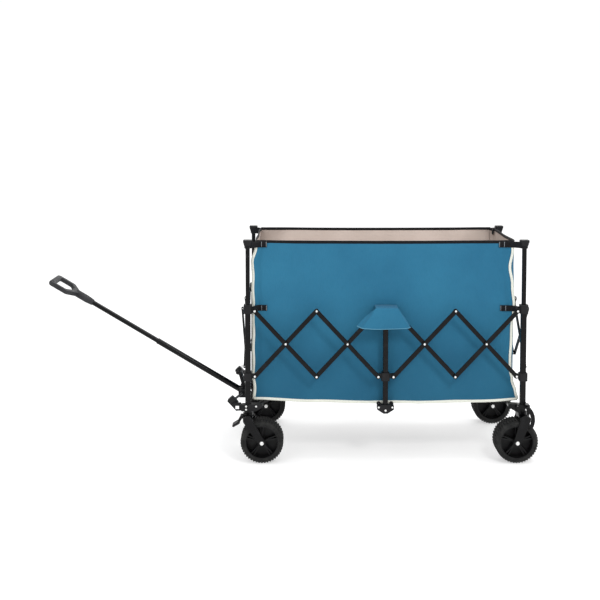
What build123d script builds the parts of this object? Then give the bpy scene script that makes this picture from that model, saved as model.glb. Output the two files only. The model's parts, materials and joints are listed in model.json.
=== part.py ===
from build123d import *
import math
import os

# Folding utility wagon. Millimetres, +Z up. X runs lengthwise with the draw handle at -X, Y across.
# The origin is on the floor, midway between the two centre posts. "Out" is distance from the
# lengthwise centre plane; left-hand pieces lie at negative Y and are mirrored to the right.

# Frame
POST_X = 604.0
POST_OUT = 301.0
LOWER_TUBE = 24.0
UPPER_TUBE = 18.0
TUBE_WALL = 1.5
LOWER_TOP = 672.0
LOWER_BOTTOM = 246.0
UPPER_TOP = 966.0
UPPER_BOTTOM = 590.0
CAP_TOP = 979.0
CAP_BOTTOM = 941.0
COLLAR = 36.0
FIT = 0.1

# Side scissors
CENTRE_EAR = 33.0
PITCH = 270.0
TOP_PIVOT_Z = 670.0
LOW_PIVOT_Z = 380.0
ARM_WIDTH = 19.0
ARM_THICK = 7.5
ARM_WALL = 1.4
INNER_LAYER = 316.0
OUTER_LAYER = 325.0
PIN_R = 3.0
HEAD_R = 5.0
HEAD_HIGH = 2.4
PIN_CLEAR = 0.06

# End scissors
END_PIVOT = 270.0
END_LOW_Z = 414.0
END_INNER = 616.5
END_OUTER = 625.0
END_THICK = 8.0

# Base folding frames and floor pads
BASE_HINGE_X = 548.0
BASE_CENTRE_X = 28.0
BASE_Z = 250.0
BASE_BAR = 12.0
BASE_BAR_HIGH = 9.0
BASE_EYE_OUT = 267.0
BASE_MID = -(BASE_HINGE_X + BASE_CENTRE_X) / 2
NECK = 88.0
PAD_LOW = 262.0
PAD_HIGH = 270.0
PAD_OUT = 264.0

# Fabric tub
TUB_X = 577.0
TUB_OUT = 274.0
TUB_LOW = 264.0
TUB_HIGH = 963.0
CLOTH = 5.0

# Wheels
WHEEL_R = 94.0
TYRE_WIDE = 100.0
RIM_R = 73.0
SPOKES = 5
AXLE_R = 6.0
FRONT_HUB_X = -542.0
REAR_HUB_X = 573.0
FORK_GAP = 107.0
FORK_THICK = 5.0
CROWN_LOW = 190.0
CROWN_HIGH = 205.0

# Draw handle
HANDLE_X = -643.0
HANDLE_Z = 233.0
HANDLE_RISE = 30.9
HANDLE_OUTER_R = 13.4
HANDLE_INNER_R = 11.0
LOWER_LENGTH = 454.0
UPPER_START = 416.0
STEM_START = 812.0
STEM_FULL = 846.0
STEM_R = 17.0
NECK_AT = 893.0
GRIP_END = 1028.0
GRIP_HALF = 92.0
GRIP_BAR_R = 13.0

# Corner feet: how far the foot reaches beyond the post, and its rivets as (x, z)
FOOT_FRONT = 634.0
FOOT_STUDS = ((-612, 246), (-612, 232), (-568, 246))
REAR_STUDS = ((-577, 246), (-616, 231))

# Brake pedals
PEDAL_X = -632.0
PEDAL_Z = 199.0


def block(x0, x1, y0, y1, z0, z1):
    """An axis-aligned block between two corners."""
    return Pos((x0 + x1) / 2, (y0 + y1) / 2, (z0 + z1) / 2) * Box(abs(x1 - x0), abs(y1 - y0), abs(z1 - z0))


def rod_y(x, z, radius, y0, y1):
    """A cylinder along Y."""
    return Pos(x, (y0 + y1) / 2, z) * Rot(90, 0, 0) * Cylinder(radius, abs(y1 - y0))


def rod_x(y, z, radius, x0, x1):
    """A cylinder along X."""
    return Pos((x0 + x1) / 2, y, z) * Rot(0, 90, 0) * Cylinder(radius, abs(x1 - x0))


def rod_z(x, y, radius, z0, z1):
    """A cylinder along Z."""
    return Pos(x, y, (z0 + z1) / 2) * Cylinder(radius, z1 - z0)


def side_plate(outline, y0, y1):
    """A sketch drawn in X and Z, made thick from y0 to y1."""
    return Pos(0, max(y0, y1), 0) * extrude(Plane.XZ * outline, abs(y1 - y0), dir=(0, -1, 0))


def end_plate(outline, x0, x1):
    """A sketch drawn in Y and Z, made thick from x0 to x1."""
    return Pos(min(x0, x1), 0, 0) * extrude(Plane.YZ * outline, abs(x1 - x0), dir=(1, 0, 0))


def both(*solids):
    """The left-hand solids and their right-hand mirror images."""
    return [*solids, *[mirror(s, about=Plane.XZ) for s in solids]]


def to_rear(solid):
    """A front solid mirrored to the rear."""
    return mirror(solid, about=Plane.YZ)


def write(name, solids):
    """Writes one node."""
    os.makedirs("parts", exist_ok=True)
    flat = [s for item in solids for s in item.solids()]
    export_step(Compound(children=flat), f"parts/{name}.step")


def soften(solid, radius, along=None):
    """Rounds all edges, or only those along one axis."""
    edges = solid.edges() if along is None else solid.edges().filter_by(along)
    return fillet(edges, radius)


def square_tube(x, y, z0, z1, size):
    """A thin-walled upright tube with rounded corners."""
    outer = soften(block(x - size / 2, x + size / 2, y - size / 2, y + size / 2, z0, z1), 3.0, Axis.Z)
    half = size / 2 - TUBE_WALL
    inner = soften(block(x - half, x + half, y - half, y + half, z0 - 1, z1 + 1), 1.6, Axis.Z)
    return outer - inner


def post_hole(x, y, size, z0, z1):
    """The clearance cut that lets a fitting slide over a post."""
    half = size / 2 + FIT
    return soften(block(x - half, x + half, y - half, y + half, z0, z1), 3.0, Axis.Z)


def bar_outline(start, end, width):
    """A round-ended bar between two points of a plane."""
    length = math.dist(start, end)
    turn = math.degrees(math.atan2(end[1] - start[1], end[0] - start[0]))
    middle = Pos((start[0] + end[0]) / 2, (start[1] + end[1]) / 2)
    return middle * Rot(0, 0, turn) * SlotCenterToCenter(length, width)


def bar_bore(start, end, width):
    """The open bore of a tubular bar, running out through both tips."""
    length = math.dist(start, end)
    turn = math.degrees(math.atan2(end[1] - start[1], end[0] - start[0]))
    middle = Pos((start[0] + end[0]) / 2, (start[1] + end[1]) / 2)
    return middle * Rot(0, 0, turn) * Rectangle(length + width * 2, width - 2 * ARM_WALL)


def tapered_outline(start, start_r, end, end_r):
    """Two discs joined by straight edges."""
    length = math.dist(start, end)
    turn = math.degrees(math.atan2(end[1] - start[1], end[0] - start[0]))
    web = Polygon((0, -start_r), (length, -end_r), (length, end_r), (0, start_r), align=None)
    shape = Circle(start_r) + Pos(length, 0) * Circle(end_r) + web
    return Pos(*start) * Rot(0, 0, turn) * shape


def side_arm(start, end, layer):
    """One tubular scissor arm on the left side, drilled at both ends and the middle."""
    y0 = -layer
    y1 = -layer - ARM_THICK
    arm = soften(side_plate(bar_outline(start, end, ARM_WIDTH), y0, y1), 1.8)
    arm -= side_plate(bar_bore(start, end, ARM_WIDTH), y0 - ARM_WALL, y1 + ARM_WALL)
    middle = ((start[0] + end[0]) / 2, (start[1] + end[1]) / 2)
    for x, z in (start, middle, end):
        arm -= rod_y(x, z, PIN_R + PIN_CLEAR, y0 + 1, y1 - 1)
    return arm


def end_arm(start, end, layer):
    """One tubular scissor arm across the front end, drilled like the side arms."""
    x0 = -layer
    x1 = -layer - END_THICK
    arm = soften(end_plate(bar_outline(start, end, ARM_WIDTH), x0, x1), 1.6)
    arm -= end_plate(bar_bore(start, end, ARM_WIDTH), x0 - ARM_WALL, x1 + ARM_WALL)
    middle = ((start[0] + end[0]) / 2, (start[1] + end[1]) / 2)
    for y, z in (start, middle, end):
        arm -= rod_x(y, z, PIN_R + PIN_CLEAR, x0 + 1, x1 - 1)
    return arm


def domed(radius, high):
    """A rivet head standing on the XY plane."""
    return fillet((Pos(0, 0, high / 2) * Cylinder(radius, high)).edges().group_by(Axis.Z)[-1], high * 0.85)


def rivet_y(x, z, inner, outer, radius=HEAD_R):
    """A left-hand rivet along Y whose heads lie just clear of the pieces that it joins."""
    shank = rod_y(x, z, PIN_R, -inner + 0.4, -outer - 0.4)
    near = Pos(x, -outer - 0.4, z) * Rot(90, 0, 0) * domed(radius, HEAD_HIGH)
    far = Pos(x, -inner + 0.4, z) * Rot(-90, 0, 0) * domed(radius - 0.6, HEAD_HIGH / 2)
    return shank + near + far


def rivet_x(y, z, inner, outer):
    """A front rivet along X."""
    shank = rod_x(y, z, PIN_R, -inner + 0.4, -outer - 0.4)
    near = Pos(-outer - 0.4, y, z) * Rot(0, -90, 0) * domed(HEAD_R, HEAD_HIGH)
    far = Pos(-inner + 0.4, y, z) * Rot(0, 90, 0) * domed(HEAD_R - 0.6, HEAD_HIGH / 2)
    return shank + near + far


def ear_y(x, z, inner, outer):
    """An upright lug with a pin hole, for a pivot along Y."""
    return rod_y(x, z, 11.5, -inner, -outer)


# Pivot places of the front bay, as (x, z).
CENTRE_TOP = (-CENTRE_EAR, TOP_PIVOT_Z)
CENTRE_LOW = (-CENTRE_EAR, LOW_PIVOT_Z)
MID_TOP = (-CENTRE_EAR - PITCH, TOP_PIVOT_Z)
MID_LOW = (-CENTRE_EAR - PITCH, LOW_PIVOT_Z)
CORNER_TOP = (-CENTRE_EAR - 2 * PITCH, TOP_PIVOT_Z)
CORNER_LOW = (-CENTRE_EAR - 2 * PITCH, LOW_PIVOT_Z)
CROSS_Z = (TOP_PIVOT_Z + LOW_PIVOT_Z) / 2
INNER_END = INNER_LAYER + ARM_THICK
OUTER_END = OUTER_LAYER + ARM_THICK


def collar(x, z0, z1):
    """A moulded collar round the left post at x, not yet bored."""
    half = COLLAR / 2
    shape = block(x - half, x + half, -POST_OUT - half, -POST_OUT + half, z0, z1)
    return fillet(soften(shape, 5.0, Axis.Z).edges().filter_by(Plane.XY), 1.5)


def side_ear(x, pivot, outer):
    """The arm that reaches from a collar at x to a side pivot."""
    px, pz = pivot
    reach = block(min(x, px), max(x, px), -INNER_LAYER + 0.6, -POST_OUT, pz - 10, pz + 10)
    shape = reach + ear_y(px, pz, POST_OUT, INNER_LAYER - 0.6)
    if outer > INNER_LAYER:
        shape += rod_y(px, pz, 8.0, -INNER_LAYER + 1, -outer + 0.6)
    return shape


def pin_bore_y(pivot, inner, outer):
    """A press-in hole for a rivet along Y."""
    return rod_y(pivot[0], pivot[1], PIN_R + PIN_CLEAR, -inner, -outer)


def centre_posts():
    """The two short posts beside the middle of the tub."""
    return both(square_tube(0, -POST_OUT, LOWER_BOTTOM, 674, LOWER_TUBE - 2))


def centre_top_bracket():
    """Closed at the top, with an ear for each bay's first arm."""
    shape = collar(0, 650, 681)
    for sign in (-1, 1):
        pivot = (sign * CENTRE_EAR, TOP_PIVOT_Z)
        shape += side_ear(0, pivot, INNER_LAYER)
        shape -= pin_bore_y(pivot, POST_OUT - 20, OUTER_END)
    return shape - post_hole(0, -POST_OUT, LOWER_TUBE - 2, 640, 674.2)


def centre_foot_bracket():
    """A pointed stamping under the centre post, with ears for the two base frames."""
    outline = Polygon((-37, 252), (37, 252), (37, 232), (9, 214), (-9, 214), (-37, 232), align=None)
    shape = side_plate(fillet(outline.vertices(), 4), -POST_OUT + 15, -POST_OUT - 17)
    for sign in (-1, 1):
        x = sign * BASE_CENTRE_X
        shape += rod_y(x, BASE_Z, 9, -BASE_EYE_OUT - 7, -POST_OUT + 12)
        shape -= rod_y(x, BASE_Z, PIN_R + PIN_CLEAR, -BASE_EYE_OUT, -POST_OUT - 30)
        shape -= rod_y(sign * 30, 242, PIN_R + PIN_CLEAR, -POST_OUT + 12, -POST_OUT - 30)
    shape -= rod_y(0, 228, PIN_R + PIN_CLEAR, -POST_OUT + 20, -POST_OUT - 30)
    return shape - post_hole(0, -POST_OUT, LOWER_TUBE - 2, LOWER_BOTTOM - 0.2, 260)


def centre_fasteners():
    """Top pivot rivets, foot rivets and the hinge pins of the inner base frames."""
    made = [rivet_y(0, 228, POST_OUT - 15, POST_OUT + 17)]
    for sign in (-1, 1):
        made.append(rivet_y(sign * CENTRE_EAR, TOP_PIVOT_Z, POST_OUT, INNER_END))
        made.append(base_pin(sign * BASE_CENTRE_X))
        made.append(foot_stud(sign * 30, 242))
    return both(*made)


def foot_stud(x, z):
    """A short rivet whose head shows on the outside of a foot bracket."""
    head = Pos(x, -POST_OUT - 17.4, z) * Rot(90, 0, 0) * domed(4.6, 2.2)
    return head + rod_y(x, z, PIN_R, -POST_OUT - 17.4, -POST_OUT - 13.5)


def base_pin(x):
    """The hinge pin of a base frame, through its eye and the foot's ear."""
    return rod_y(x, BASE_Z, PIN_R, -BASE_EYE_OUT + 6, -BASE_EYE_OUT - 12)


def centre_slider():
    """Slides on the centre post and carries the lower ends of both bays."""
    shape = collar(0, 358, 394)
    pins = []
    for sign in (-1, 1):
        pivot = (sign * CENTRE_EAR, LOW_PIVOT_Z)
        shape += side_ear(0, pivot, OUTER_LAYER)
        pins.append(rod_y(*pivot, PIN_R, -OUTER_LAYER + 2, -OUTER_END - 0.6))
        pins[-1] += Pos(pivot[0], -OUTER_END - 0.5, pivot[1]) * Rot(90, 0, 0) * domed(4.6, 1.6)
    for pin in pins:
        shape += pin
    return shape - post_hole(0, -POST_OUT, LOWER_TUBE - 2, 340, 410)


def corner_bracket():
    """The fixed bracket that joins the lower and upper post and carries side and end arms."""
    x = -POST_X
    shape = collar(x, 655, 695) + side_ear(x, CORNER_TOP, OUTER_LAYER)
    shape += block(x - 12, x - 4, -POST_OUT, -END_PIVOT, TOP_PIVOT_Z - 10, TOP_PIVOT_Z + 10)
    shape += rod_x(-END_PIVOT, TOP_PIVOT_Z, 10.5, x - 12, x - 3)
    shape -= pin_bore_y(CORNER_TOP, POST_OUT - 20, OUTER_END)
    shape -= rod_x(-END_PIVOT, TOP_PIVOT_Z, PIN_R + PIN_CLEAR, x + 30, x - 40)
    shape -= post_hole(x, -POST_OUT, LOWER_TUBE, 640, LOWER_TOP + 0.2)
    return shape - post_hole(x, -POST_OUT, UPPER_TUBE, 660, 700)


def end_tab():
    """The tab on the inner face of a corner post, just above the slider, for the end arms' lower ends."""
    x = -POST_X
    shape = block(x - 12, x - 4, -POST_OUT, -END_PIVOT, END_LOW_Z - 9, END_LOW_Z + 9)
    shape += rod_x(-END_PIVOT, END_LOW_Z, 10.5, x - 12, x - 3)
    shape -= rod_x(-END_PIVOT, END_LOW_Z, PIN_R + PIN_CLEAR, x + 30, x - 40)
    return shape - post_hole(x, -POST_OUT, LOWER_TUBE, 390, 440)


def corner_slider():
    """Slides on a corner post and carries the lower end of the last arm."""
    x = -POST_X
    shape = collar(x, 357, 393) + side_ear(x, CORNER_LOW, INNER_LAYER)
    shape -= pin_bore_y(CORNER_LOW, POST_OUT - 20, OUTER_END)
    return shape - post_hole(x, -POST_OUT, LOWER_TUBE, 340, 410)


def post_cap():
    """A flared moulded cap on top of a corner post."""
    x = -POST_X
    low = Pos(x, -POST_OUT, CAP_BOTTOM) * RectangleRounded(22, 22, 4)
    high = Pos(x, -POST_OUT, CAP_TOP - 8) * RectangleRounded(39, 39, 7)
    flare = loft([low, high])
    top = Pos(x, -POST_OUT, CAP_TOP - 8) * extrude(RectangleRounded(39, 39, 7), 8)
    top = fillet(top.edges().group_by(Axis.Z)[-1], 3)
    return flare + top - post_hole(x, -POST_OUT, UPPER_TUBE, CAP_BOTTOM - 1, UPPER_TOP + 0.2)


def corner_posts():
    """The two stepped posts of the front end frame."""
    lower = square_tube(-POST_X, -POST_OUT, LOWER_BOTTOM, LOWER_TOP, LOWER_TUBE)
    upper = square_tube(-POST_X, -POST_OUT, UPPER_BOTTOM, UPPER_TOP, UPPER_TUBE)
    return both(lower, upper)


def end_arm_set():
    """The crossed pairs, with the doubled tips at the middle in different layers."""
    return [
        end_arm((-END_PIVOT, END_LOW_Z), (0, TOP_PIVOT_Z), END_INNER),
        end_arm((0, END_LOW_Z), (END_PIVOT, TOP_PIVOT_Z), END_INNER),
        end_arm((-END_PIVOT, TOP_PIVOT_Z), (0, END_LOW_Z), END_OUTER),
        end_arm((0, TOP_PIVOT_Z), (END_PIVOT, END_LOW_Z), END_OUTER),
    ]


def end_rivets():
    """The rivets of the crossed pairs at one end, with a spacer wherever the outer arm stands alone."""
    outer = END_OUTER + END_THICK
    cross = (TOP_PIVOT_Z + END_LOW_Z) / 2
    made = []
    for z in (TOP_PIVOT_Z, END_LOW_Z):
        made.append(rivet_x(0, z, END_INNER, outer))
    for sign in (-1, 1):
        made.append(rivet_x(sign * END_PIVOT / 2, cross, END_INNER, outer))
        for z in (TOP_PIVOT_Z, END_LOW_Z):
            rivet = rivet_x(sign * END_PIVOT, z, POST_X + 2.5, outer)
            if (sign < 0) == (z == TOP_PIVOT_Z):
                rivet += rod_x(sign * END_PIVOT, z, 6, -END_INNER, -END_OUTER + 0.4)
            else:
                rivet += rod_x(sign * END_PIVOT, z, 6, -END_INNER - END_THICK - 0.4, -outer)
            made.append(rivet)
    return made


def foot_collar():
    """The pressed foot round the bottom of a corner post, with the base frame's ear."""
    x = -POST_X
    outline = Polygon(
        (-FOOT_FRONT, 252), (-558, 257), (-538, 256), (-538, 243), (-570, 224), (-FOOT_FRONT, 224),
        align=None,
    )
    shape = side_plate(fillet(outline.vertices(), 3), -POST_OUT + 17, -POST_OUT - 17)
    shape += rod_y(-BASE_HINGE_X, BASE_Z, 9, -BASE_EYE_OUT - 7, -POST_OUT + 10)
    shape -= rod_y(-BASE_HINGE_X, BASE_Z, PIN_R + PIN_CLEAR, -BASE_EYE_OUT, -POST_OUT)
    return shape - post_hole(x, -POST_OUT, LOWER_TUBE, LOWER_BOTTOM - 0.2, 270)


def front_foot():
    """The front foot is bored for the caster stem."""
    shape = foot_collar() - rod_z(-POST_X, -POST_OUT, 8.05, 200, 250)
    for x, z in FOOT_STUDS:
        shape -= rod_y(x, z, PIN_R + PIN_CLEAR, -POST_OUT - 13, -POST_OUT - 30)
    return shape


def end_fasteners(studs):
    """Everything bright that is fixed to one end frame."""
    made = [rivet_y(*CORNER_TOP, POST_OUT, OUTER_END), base_pin(-BASE_HINGE_X)]
    made += [foot_stud(x, z) for x, z in studs]
    return both(*made) + end_rivets()


def foot_plate():
    """The pierced plate that carries the draw linkage forward from a front foot."""
    front = -FOOT_FRONT - 0.1
    outline = Polygon(
        (front, 224), (front, 258), (-662, 259), (-678, 247), (-657, 223), align=None
    )
    plate = side_plate(fillet(outline.vertices().sort_by(Axis.X)[:3], 3), -POST_OUT + 8, -POST_OUT - 4)
    return plate - block(-660, -644, -POST_OUT - 10, -POST_OUT + 10, 228, 245)


def knuckle_block():
    """The tilted hinge block beside the foot plate, slotted for the cross link."""
    outline = Pos(-671.5, 259) * Rot(0, 0, -46) * RectangleRounded(42, 32, 5)
    return side_plate(outline, -POST_OUT + 34, -POST_OUT + 8.2) - cross_link()


def cross_link():
    """The round link that runs in and down from a knuckle to the draw hub."""
    start, end = Vector(-664, -POST_OUT + 26, 268), Vector(-641, -57, 238)
    return Plane(origin=start, z_dir=end - start) * Pos(0, 0, (end - start).length / 2) * Cylinder(
        5.5, (end - start).length
    )


def draw_hub():
    """The block that carries the handle pivot, with the upright stowing clip."""
    low, high = 218, 252
    shape = block(-629, -621, -64, 64, low, high)
    for side in (-1, 1):
        shape += block(-662, -623, side * 15, side * 27, low, high)
        shape += block(-656, -623, side * 52, side * 64, low, high)
        shape += side_plate(clip_outline(), side * 14.5, side * 19.5)
    shape += side_plate(bar_outline((-627, 236), (-650, 322), 5), -16, 16)
    for link in both(cross_link()):
        shape -= link
    return shape - rod_y(HANDLE_X, HANDLE_Z, 6.05, -40, 40)


def clip_outline():
    """The side cheek of the stowing clip: a slim upright with a round lobe at its top front."""
    return bar_outline((-634, 240), (-655, 315), 11) + Pos(-666, 323) * Circle(8.5)


def hub_pin():
    """The handle pivot pin with a head at each end."""
    pin = rod_y(HANDLE_X, HANDLE_Z, 6.0, -30, 30)
    head = Pos(HANDLE_X, -27.4, HANDLE_Z) * Rot(90, 0, 0) * domed(9, 4)
    return pin + head + mirror(head, about=Plane.XZ)


def on_handle(solid):
    """Places a solid drawn along +X from the pivot onto the raised handle line."""
    return Pos(HANDLE_X, 0, HANDLE_Z) * Rot(0, 180 + HANDLE_RISE, 0) * solid


def handle_lower():
    """The lower tube with its flattened pivot eye and the end bush."""
    tube = rod_x(0, 0, HANDLE_OUTER_R, 14, LOWER_LENGTH)
    eye = rod_y(0, 0, 12.5, -HANDLE_OUTER_R, HANDLE_OUTER_R)
    solid = tube + eye + block(0, 24, -HANDLE_OUTER_R, HANDLE_OUTER_R, -9, 9)
    solid -= rod_x(0, 0, HANDLE_INNER_R + 0.25, 28, LOWER_LENGTH + 1)
    solid -= rod_y(0, 0, 6.05, -20, 20)
    bush = fillet(rod_x(0, 0, HANDLE_OUTER_R + 0.6, LOWER_LENGTH + 0.1, LOWER_LENGTH + 9).edges(), 1.5)
    bush -= rod_x(0, 0, HANDLE_INNER_R + 0.25, LOWER_LENGTH - 1, LOWER_LENGTH + 20)
    return [on_handle(solid), on_handle(bush)]


def handle_upper():
    """The sliding upper tube."""
    tube = rod_x(0, 0, HANDLE_INNER_R, UPPER_START, STEM_START + 30)
    return [on_handle(tube - rod_x(0, 0, HANDLE_INNER_R - 1.5, UPPER_START - 1, STEM_START + 31))]


def handle_grip():
    """A moulded D-shaped grip on a short stem."""
    taper = Cone(14, STEM_R, STEM_FULL - STEM_START)
    stem = Pos((STEM_START + STEM_FULL) / 2, 0, 0) * Rot(0, 90, 0) * taper
    stem += rod_x(0, 0, STEM_R, STEM_FULL, NECK_AT + 12)
    stem -= rod_x(0, 0, HANDLE_INNER_R + 0.02, 700, STEM_START + 30.1)
    outer = Polygon(
        (NECK_AT - 6, -18), (NECK_AT + 40, -GRIP_HALF), (GRIP_END - 4, -GRIP_HALF),
        (GRIP_END - 4, GRIP_HALF), (NECK_AT + 40, GRIP_HALF), (NECK_AT - 6, 18), align=None,
    )
    inner = Polygon(
        (NECK_AT + 31, -24), (NECK_AT + 54, -GRIP_HALF + 20), (GRIP_END - 27, -GRIP_HALF + 20),
        (GRIP_END - 27, GRIP_HALF - 20), (NECK_AT + 54, GRIP_HALF - 20), (NECK_AT + 31, 24), align=None,
    )
    loop = fillet(outer.vertices(), 16) - fillet(inner.vertices(), 10)
    loop = extrude(Pos(0, 0, -10) * loop, 20)
    loop = fillet(loop.edges().filter_by(Plane.XY), 4)
    bar = rod_y(GRIP_END - GRIP_BAR_R, 0, GRIP_BAR_R, -GRIP_HALF + 16, GRIP_HALF - 16)
    bar = fillet(bar.edges(), 4)
    return [on_handle(stem + loop + bar)]


def tyre():
    """A solid foam-filled tyre about the Y axis at the origin, plain where its ribs would be cut."""
    body = fillet((Rot(90, 0, 0) * Cylinder(WHEEL_R, TYRE_WIDE)).edges(), 9)
    return body - Rot(90, 0, 0) * Cylinder(RIM_R + 0.05, TYRE_WIDE + 10)


def rim():
    """A moulded rim about the Y axis at the origin: barrel, web, spokes and hub."""
    barrel = Rot(90, 0, 0) * (Cylinder(RIM_R, TYRE_WIDE - 6) - Cylinder(RIM_R - 4, TYRE_WIDE))
    web = Rot(90, 0, 0) * Cylinder(RIM_R - 2, 6)
    hub = Rot(90, 0, 0) * (Cylinder(17, TYRE_WIDE - 16) + Cylinder(11, FORK_GAP - 1.4))
    solid = barrel + web + fillet(hub.edges().group_by(Axis.Y)[0], 1)
    for k in range(SPOKES):
        for turn in (-5, 5):
            spoke = Rot(0, 360 / SPOKES * k + turn, 0) * Pos(0, 0, RIM_R / 2 + 4) * Box(4.5, 66, RIM_R - 12)
            solid += spoke
    return solid - Rot(90, 0, 0) * Cylinder(AXLE_R + 0.05, 200)


def fork_leg_pair(top, top_r, hub, hub_r):
    """The two legs and crown that straddle a left wheel."""
    half = FORK_GAP / 2
    solid = None
    for side in (-1, 1):
        y0 = -POST_OUT + side * half
        y1 = y0 + side * FORK_THICK
        leg = side_plate(tapered_outline(top, top_r, hub, hub_r), y0, y1)
        leg = fillet(leg.edges().filter_by(GeomType.LINE).filter_by(Axis.Y, reverse=True), 1.2)
        leg -= rod_y(hub[0], hub[1], AXLE_R + 0.05, y0 - side, y1 + side)
        solid = leg if solid is None else solid + leg
    reach = half + FORK_THICK
    crown = block(
        top[0] - top_r, top[0] + top_r, -POST_OUT - reach, -POST_OUT + reach, CROWN_LOW, CROWN_HIGH,
    )
    return solid + fillet(crown.edges().filter_by(Axis.X), 4)


def axle(hub_x):
    """A wheel bolt with a domed head outside and a nut inside."""
    reach = FORK_GAP / 2 + FORK_THICK
    rod = rod_y(hub_x, WHEEL_R, AXLE_R, -POST_OUT - reach - 1, -POST_OUT + reach + 1)
    head = Pos(hub_x, -POST_OUT - reach - 0.3, WHEEL_R) * Rot(90, 0, 0) * domed(9, 5)
    nut = Pos(hub_x, -POST_OUT + reach + 0.3, WHEEL_R) * Rot(-90, 0, 0) * extrude(RegularPolygon(9, 6), 7)
    return rod + head + nut


def caster_fork():
    """A swivelling front fork with its stem, bearing ring and the pedal's lugs."""
    fork = fork_leg_pair((-POST_X, 194), 20, (FRONT_HUB_X, WHEEL_R), 15)
    fork += rod_z(-POST_X, -POST_OUT, 22, CROWN_HIGH - 1, 215)
    fork += rod_z(-POST_X, -POST_OUT, 16, 214, 223.6)
    fork += rod_z(-POST_X, -POST_OUT, 8.0, 215, 243)
    for side in (-1, 1):
        y = -POST_OUT + side * 13
        lug = tapered_outline((PEDAL_X, PEDAL_Z), 7, (-612, 198), 7)
        fork += side_plate(lug, y - 3, y + 3)
    return fork - rod_y(PEDAL_X, PEDAL_Z, 3.05, -POST_OUT - 30, -POST_OUT + 30)


def brake_pedal():
    """A foot lever hinged on the front of a caster fork."""
    arm = tapered_outline((PEDAL_X, PEDAL_Z), 6.5, (-645, 176), 5)
    tread = tapered_outline((-645, 174), 5.5, (-668, 160), 5)
    lever = side_plate(arm, -POST_OUT - 9, -POST_OUT + 9)
    foot = fillet(side_plate(tread, -POST_OUT - 22, -POST_OUT + 22).edges(), 1.5)
    pin = rod_y(PEDAL_X, PEDAL_Z, 3.0, -POST_OUT - 17.5, -POST_OUT + 17.5)
    return lever + foot + pin


def rear_fork():
    """The fixed rear fork, its foot, the diagonal brace and the curved gusset."""
    hub = (-REAR_HUB_X, WHEEL_R)
    fork = fork_leg_pair((-POST_X - 3, 194), 22, hub, 17)
    fork += rod_z(-POST_X, -POST_OUT, 19, CROWN_HIGH - 1, 226)
    foot = foot_collar()
    for x, z in REAR_STUDS:
        foot -= rod_y(x, z, PIN_R + PIN_CLEAR, -POST_OUT - 13, -POST_OUT - 30)
    brace = side_plate(bar_outline((-574, 246), (-597, 196), 11), -POST_OUT - 31, -POST_OUT - 20.8)
    return fork + foot + brace + curved_gusset()


def curved_gusset():
    """A bowed horn behind each cheek of the rear fork."""
    outer = ThreePointArc((-622, 256), (-647, 208), (-638, 160))
    inner = ThreePointArc((-622, 160), (-630, 200), (-604, 250))
    face = make_face([outer, Line(outer @ 1, inner @ 0), inner, Line(inner @ 1, outer @ 0)])
    horns = []
    for side in (-1, 1):
        y0 = -POST_OUT + side * FORK_GAP / 2
        horns.append(side_plate(face, y0, y0 + side * FORK_THICK))
    return horns[0] + horns[1]


def plan_bar(start, end):
    """A horizontal base bar between two points in plan."""
    outline = bar_outline(start, end, BASE_BAR)
    return extrude(Pos(0, 0, BASE_Z - BASE_BAR_HIGH / 2) * outline, BASE_BAR_HIGH)


def base_eye(x):
    """The hinge eye at the outer end of a base bar."""
    return rod_y(x, BASE_Z, 7.5, -BASE_EYE_OUT - 6.5, -BASE_EYE_OUT + 6)


def eye_bore(x):
    """The hinge hole of a base frame eye."""
    return rod_y(x, BASE_Z, PIN_R + PIN_CLEAR, -BASE_EYE_OUT - 10, -BASE_EYE_OUT + 10)


def base_outer():
    """The frame from the corner feet, ending in a single tongue."""
    left = plan_bar((-BASE_HINGE_X + 4, -BASE_EYE_OUT + 4), (BASE_MID - NECK, 0)) + base_eye(-BASE_HINGE_X)
    left -= eye_bore(-BASE_HINGE_X)
    tongue = block(BASE_MID - NECK - 12, BASE_MID + 8, -6.5, 6.5, BASE_Z - 6, BASE_Z + 6)
    return left + mirror(left, about=Plane.XZ) + fillet(tongue.edges().filter_by(Axis.Y), 4)


def base_inner():
    """The frame from the centre feet, ending in a two-pronged fork."""
    left = plan_bar((-BASE_CENTRE_X - 4, -BASE_EYE_OUT + 4), (BASE_MID + NECK + 4, -12))
    left += base_eye(-BASE_CENTRE_X)
    left -= eye_bore(-BASE_CENTRE_X)
    prong = block(BASE_MID - 8, BASE_MID + NECK + 14, -14, -9, BASE_Z - 6, BASE_Z + 6)
    left += fillet(prong.edges().filter_by(Axis.Y), 4)
    bridge = block(BASE_MID + NECK, BASE_MID + NECK + 14, -14, 14, BASE_Z - 6, BASE_Z + 6)
    return left + mirror(left, about=Plane.XZ) + bridge


def floor_pad(x0, x1):
    """One plain section of the floor mat."""
    return block(x0, x1, -PAD_OUT, PAD_OUT, PAD_LOW, PAD_HIGH)


def side_panel():
    """A plain side wall of the tub."""
    x = TUB_X - CLOTH - 1
    return block(-x, x, -TUB_OUT, -TUB_OUT + CLOTH, TUB_LOW, TUB_HIGH)


def end_panel():
    """A plain end wall of the tub."""
    return block(-TUB_X, -TUB_X + CLOTH, -TUB_OUT, TUB_OUT, TUB_LOW, TUB_HIGH)


def cross(first, second):
    """Where two straight runs meet."""
    return ((first[0] + second[0]) / 2, CROSS_Z)


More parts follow.
